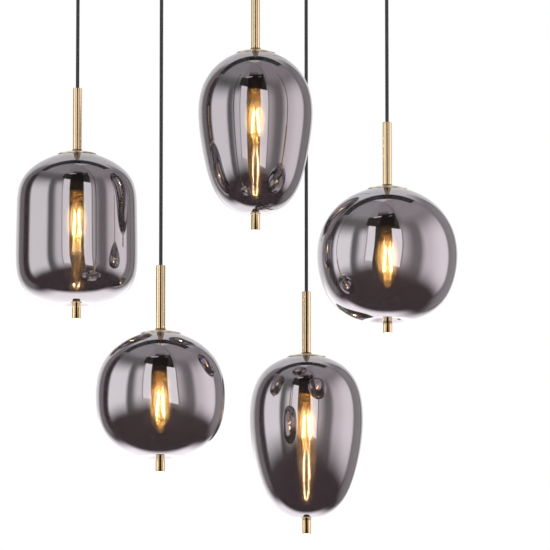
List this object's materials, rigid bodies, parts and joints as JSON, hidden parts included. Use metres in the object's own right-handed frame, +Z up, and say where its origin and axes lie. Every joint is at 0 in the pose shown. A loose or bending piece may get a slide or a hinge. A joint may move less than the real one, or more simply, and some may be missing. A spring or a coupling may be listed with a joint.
{
  "type": "cluster pendant",
  "caption": "Ceiling pendant cluster: smoked glass shades, eggs, globes and a barrel, on brass stem tubes and dark cords at staggered heights from one round canopy.",
  "frame": {"origin": "centre of the four ceiling screws, on the ceiling plane", "axes": "+Z up, through the ceiling; -Y is the side the picture sees the cluster from; +X is to the right of that view"},
  "size_m": [0.6313, 0.537, 0.898],
  "materials": {
    "canopy_brass": "brushed satin brass",
    "brass": "brushed satin brass",
    "bracket_steel": "zinc-plated sheet",
    "steel": "zinc-plated, with a clear silicone gasket",
    "harness_plastic": "moulded terminal block and sheathed leads",
    "grommet_rubber": "matt moulded rubber",
    "cord": "fine dark braid",
    "smoked_glass": "polished, half-mirrored smoke",
    "holder_plastic": "satin moulded thermoset",
    "nickel": "nickel-plated shell with a gold collar",
    "bulb_glass": "clear, faintly golden",
    "filament": "lit filament rods"
  },
  "bodies": {
    "root": {"ceiling_bracket": "bracket_steel", "canopy_cover": "canopy_brass", "wiring_harness": "harness_plastic", "cord_grips": "brass", "cover_screws": "brass"},
    "upper_egg_grommet": {"upper_egg_cord_grommet": "grommet_rubber"},
    "upper_egg_lamp": {"upper_egg_cord": "cord", "upper_egg_stem_tube": "brass", "upper_egg_shade_cap": "brass", "upper_egg_shade_fixings": "steel", "upper_egg_glass_shade": "smoked_glass", "upper_egg_lampholder": "holder_plastic", "upper_egg_bulb_base": "nickel", "upper_egg_bulb_glass": "bulb_glass", "upper_egg_bulb_filament": "filament", "upper_egg_finial": "brass"},
    "right_globe_grommet": {"right_globe_cord_grommet": "grommet_rubber"},
    "right_globe_lamp": {"right_globe_cord": "cord", "right_globe_stem_tube": "brass", "right_globe_shade_cap": "brass", "right_globe_shade_fixings": "steel", "right_globe_glass_shade": "smoked_glass", "right_globe_lampholder": "holder_plastic", "right_globe_bulb_base": "nickel", "right_globe_bulb_glass": "bulb_glass", "right_globe_bulb_filament": "filament", "right_globe_finial": "brass"},
    "left_barrel_grommet": {"left_barrel_cord_grommet": "grommet_rubber"},
    "left_barrel_lamp": {"left_barrel_cord": "cord", "left_barrel_stem_tube": "brass", "left_barrel_shade_cap": "brass", "left_barrel_shade_fixings": "steel", "left_barrel_glass_shade": "smoked_glass", "left_barrel_lampholder": "holder_plastic", "left_barrel_bulb_base": "nickel", "left_barrel_bulb_glass": "bulb_glass", "left_barrel_bulb_filament": "filament", "left_barrel_finial": "brass"},
    "lower_globe_grommet": {"lower_globe_cord_grommet": "grommet_rubber"},
    "lower_globe_lamp": {"lower_globe_cord": "cord", "lower_globe_stem_tube": "brass", "lower_globe_shade_cap": "brass", "lower_globe_shade_fixings": "steel", "lower_globe_glass_shade": "smoked_glass", "lower_globe_lampholder": "holder_plastic", "lower_globe_bulb_base": "nickel", "lower_globe_bulb_glass": "bulb_glass", "lower_globe_bulb_filament": "filament", "lower_globe_finial": "brass"},
    "lower_egg_grommet": {"lower_egg_cord_grommet": "grommet_rubber"},
    "lower_egg_lamp": {"lower_egg_cord": "cord", "lower_egg_stem_tube": "brass", "lower_egg_shade_cap": "brass", "lower_egg_shade_fixings": "steel", "lower_egg_glass_shade": "smoked_glass", "lower_egg_lampholder": "holder_plastic", "lower_egg_bulb_base": "nickel", "lower_egg_bulb_glass": "bulb_glass", "lower_egg_bulb_filament": "filament", "lower_egg_finial": "brass"}
  },
  "joints": [
    {"name": "upper_egg_swing_front_back", "type": "hinge", "parent": "root", "child": "upper_egg_grommet", "pos_m": [0.033, 0.03, -0.0478], "axis": [1, 0, 0], "range_deg": [-10, 10]},
    {"name": "upper_egg_swing_sideways", "type": "hinge", "parent": "upper_egg_grommet", "child": "upper_egg_lamp", "pos_m": [0.033, 0.03, -0.0478], "axis": [0, 1, 0], "range_deg": [-10, 10]},
    {"name": "right_globe_swing_front_back", "type": "hinge", "parent": "root", "child": "right_globe_grommet", "pos_m": [0.2202, -0.095, -0.0478], "axis": [1, 0, 0], "range_deg": [-10, 10]},
    {"name": "right_globe_swing_sideways", "type": "hinge", "parent": "right_globe_grommet", "child": "right_globe_lamp", "pos_m": [0.2202, -0.095, -0.0478], "axis": [0, 1, 0], "range_deg": [-10, 10]},
    {"name": "left_barrel_swing_front_back", "type": "hinge", "parent": "root", "child": "left_barrel_grommet", "pos_m": [-0.2242, 0.05, -0.0478], "axis": [1, 0, 0], "range_deg": [-10, 10]},
    {"name": "left_barrel_swing_sideways", "type": "hinge", "parent": "left_barrel_grommet", "child": "left_barrel_lamp", "pos_m": [-0.2242, 0.05, -0.0478], "axis": [0, 1, 0], "range_deg": [-10, 10]},
    {"name": "lower_globe_swing_front_back", "type": "hinge", "parent": "root", "child": "lower_globe_grommet", "pos_m": [-0.0995, -0.15, -0.0478], "axis": [1, 0, 0], "range_deg": [-10, 10]},
    {"name": "lower_globe_swing_sideways", "type": "hinge", "parent": "lower_globe_grommet", "child": "lower_globe_lamp", "pos_m": [-0.0995, -0.15, -0.0478], "axis": [0, 1, 0], "range_deg": [-10, 10]},
    {"name": "lower_egg_swing_front_back", "type": "hinge", "parent": "root", "child": "lower_egg_grommet", "pos_m": [0.1069, 0.19, -0.0478], "axis": [1, 0, 0], "range_deg": [-10, 10]},
    {"name": "lower_egg_swing_sideways", "type": "hinge", "parent": "lower_egg_grommet", "child": "lower_egg_lamp", "pos_m": [0.1069, 0.19, -0.0478], "axis": [0, 1, 0], "range_deg": [-10, 10]}
  ]
}
